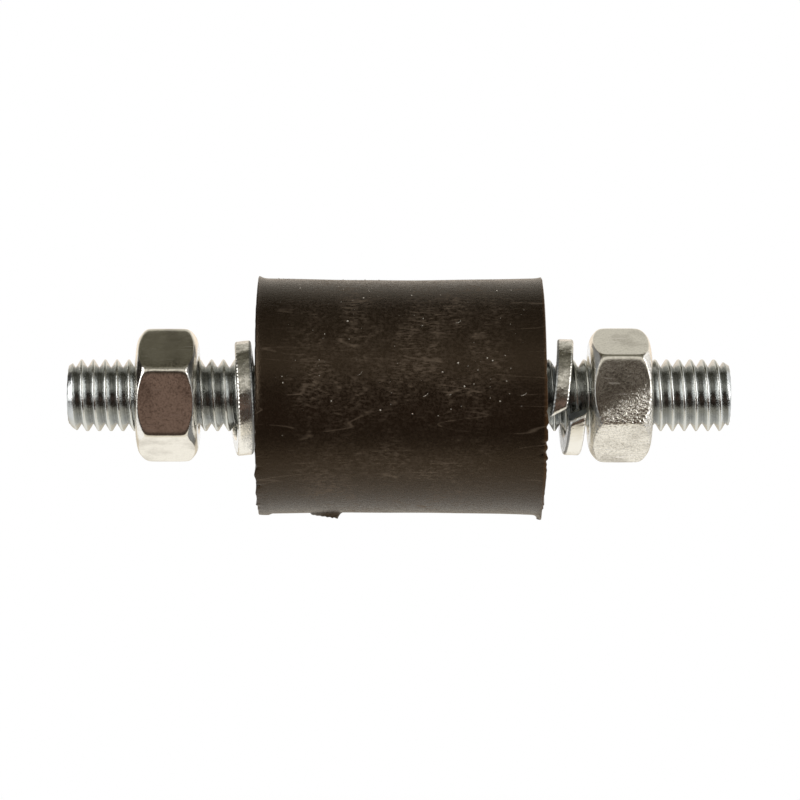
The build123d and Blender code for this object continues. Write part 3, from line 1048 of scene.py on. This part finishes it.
def build_floor(scene):
    """Round pale floor well below the mount, which fades into the white background."""
    radius, height, fade_start, fade_end = 0.2, -0.052, 0.05, 0.17
    mesh = bpy.data.meshes.new("floor")
    shape = bmesh.new()
    bmesh.ops.create_circle(shape, cap_ends=True, segments=128, radius=radius)
    bmesh.ops.translate(shape, verts=shape.verts, vec=(0, 0, height))
    shape.to_mesh(mesh)
    shape.free()
    material, add = new_material("matt_white_sweep")
    out = distance_out(add, add(PLACE).outputs["Object"], LEVEL)
    fade = add(RANGE, [out, fade_start, fade_end], interpolation_type="SMOOTHSTEP")
    share = add(MATH, [fade, background_share(add)], "MULTIPLY")
    paint = add(
        PRINCIPLED,
        {"Base Color": scene.mount_colours.floor, "Roughness": 0.85, "Specular IOR Level": 0.1},
    )
    white = add(GLOW, {"Color": WHITE, "Strength": 1.0})
    mixed = add("ShaderNodeMixShader", [share, paint, white])
    add(SURFACE, {"Surface": mixed})
    mesh.materials.append(material)
    floor = put(scene, "floor", mesh, "glossy")


# Degrees from straight in front, up about X, and the card's colour there
ROOM_BANDS = (
    (-176, "#cfc5b2"), (-158, "#e2d9c9"), (-146, "#fcf9f2"), (-94, "#fcf9f2"),
    (-80, "#ebe5d8"), (-60, "#e6dfd0"), (-55, "#d9d2c4"), (-50, "#42372f"),
    (-24, "#42372f"), (-20, "#735f55"), (-10, "#735f55"), (-5, "#3f362e"),
    (14, "#3f362e"), (18, "#d6d2c8"), (46, "#d6d2c8"), (52, "#8d8a80"),
    (84, "#7a776b"), (89, "#514e42"), (110, "#514e42"), (114, "#c2bdb1"),
    (122, "#cac7bd"), (138, "#cac7bd"), (152, "#fff6ea"), (176, "#fff0dd"),
)


def build_cards(scene):
    """Bent card round the mount's front: a warm table, a dark room, a grey ceiling and its dark edge.

    Steel reflects it and gets its brown middles and dark tops from it.
    """
    low, high, radius, half_width, steps = ROOM_BANDS[0][0], ROOM_BANDS[-1][0], 0.45, 0.42, 90
    points, faces = [], []
    for step in range(steps + 1):
        a = radians(low + (high - low) * step / steps)
        points += [(s * half_width, -radius * cos(a), radius * sin(a)) for s in (-1, 1)]
    for step in range(steps):
        faces.append((2 * step, 2 * step + 1, 2 * step + 3, 2 * step + 2))
    mesh = bpy.data.meshes.new("dark_card")
    mesh.from_pydata(points, [], faces)

    def forwards(add, place):
        return add(VECTOR, [place, (0.0, -1.0, 0.0)], "DOT_PRODUCT").outputs["Value"]

    mesh.materials.append(banded_glow("dim_room_card", forwards, ROOM_BANDS, 1.0))
    card = put(scene, "dark_card", mesh, "camera", "shadow")


# Degrees above the level, and a window card's colour there
WINDOW_BANDS = (
    (-30, "#8a8a88"), (-28, "#0e0d0d"), (-10, "#060606"), (-7, "#ffffff"),
    (38, "#ffffff"), (45, "#2a2927"), (60, "#2a2927"),
)


def build_side_cards(scene):
    """Upright cards at the front's two sides: bright windows with dark above and below them.

    The flanks of the threads and the rims of the nuts reflect them. A dark card stands farther
    back on the left.
    """
    window = banded_glow("window_card", partial(distance_out, axes=LEVEL), WINDOW_BANDS, 3.6)
    dark, add = new_material("black_card")
    paint = add(GLOW, {"Color": linear("#2b2723"), "Strength": 1.0})
    add(SURFACE, {"Surface": paint})
    for name, x, near, far, low, high, finish in (
        ("left_window", -0.45, -0.45, -0.08, -0.28, 0.8, window),
        ("right_window", 0.45, -0.45, -0.08, -0.28, 0.8, window),
        ("left_black_card", -0.45, -0.08, 0.35, -0.04, 0.6, dark),
    ):
        corners = [(x, near, low), (x, far, low), (x, far, high), (x, near, high)]
        mesh = bpy.data.meshes.new(name)
        mesh.from_pydata(corners, [], [(0, 1, 2, 3)])
        mesh.materials.append(finish)
        card = put(scene, name, mesh, "camera", "diffuse", "shadow")


def build_lamps(scene):
    """Three soft boxes, a little above the mount: one behind it and one on each side."""
    for name, place, wide, power in (
        ("back_softbox", (0.02, 0.33, 0.1), 0.2, 0.2),
        ("left_softbox", (-0.3, 0.08, 0.12), 0.16, 0.12),
        ("right_softbox", (0.3, 0.1, 0.08), 0.16, 0.12),
    ):
        lamp = bpy.data.lights.new(name, "AREA")
        lamp.shape, lamp.size, lamp.energy = "DISK", wide, power
        lit = put(scene, name, lamp, "glossy")
        lit.location = place
        lit.rotation_euler = (-Vector(place)).to_track_quat("-Z", "Y").to_euler()


def build_camera(scene):
    """Level camera in front of the mount, a little left of its middle."""
    camera = bpy.data.cameras.new("product_camera")
    camera.lens, camera.sensor_width = 159.3, 36.0
    camera.clip_start, camera.clip_end = 0.01, 10.0
    place = Vector((-0.0026, -0.300, -0.0004))
    seat = put(scene, "product_camera", camera)
    seat.location = place
    seat.rotation_euler = (Vector((0, 0, place.z)) - place).to_track_quat("-Z", "Y").to_euler()
    scene.camera = seat


class MOUNT_PT_pieces(bpy.types.Panel):
    """Lists the mount's pieces and their settings in the sidebar"""

    bl_label = "Bobbin Vibration Mount"
    bl_idname = "MOUNT_PT_pieces"
    bl_space_type = "VIEW_3D"
    bl_region_type = "UI"
    bl_category = "Mount"

    def draw(self, context):
        layout = self.layout
        for operator in OPERATORS:
            layout.operator(operator.bl_idname)
        for group in ("mount_sizes", "mount_colours", "mount_counts"):
            values = getattr(context.scene, group)
            box = layout.box()
            for name in values.__annotations__:
                box.prop(values, name)


GROUPS = {"mount_sizes": MountSizes, "mount_colours": MountColours, "mount_counts": MountCounts}
OPERATORS = (
    MOUNT_OT_rubber_body,
    MOUNT_OT_dust,
    MOUNT_OT_end_plates,
    MOUNT_OT_studs,
    MOUNT_OT_lock_washers,
    MOUNT_OT_nuts,
    MOUNT_OT_studio,
)


def register():
    for kind in (*GROUPS.values(), *OPERATORS, MOUNT_PT_pieces):
        bpy.utils.register_class(kind)
    for name, group in GROUPS.items():
        setattr(bpy.types.Scene, name, PointerProperty(type=group))


def unregister():
    for name in GROUPS:
        delattr(bpy.types.Scene, name)
    for kind in (MOUNT_PT_pieces, *OPERATORS, *GROUPS.values()):
        bpy.utils.unregister_class(kind)


def main():
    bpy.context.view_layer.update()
    register()
    for operator in OPERATORS:
        group, name = operator.bl_idname.split(".")
        getattr(getattr(bpy.ops, group), name)()


if __name__ == "__main__":
    main()
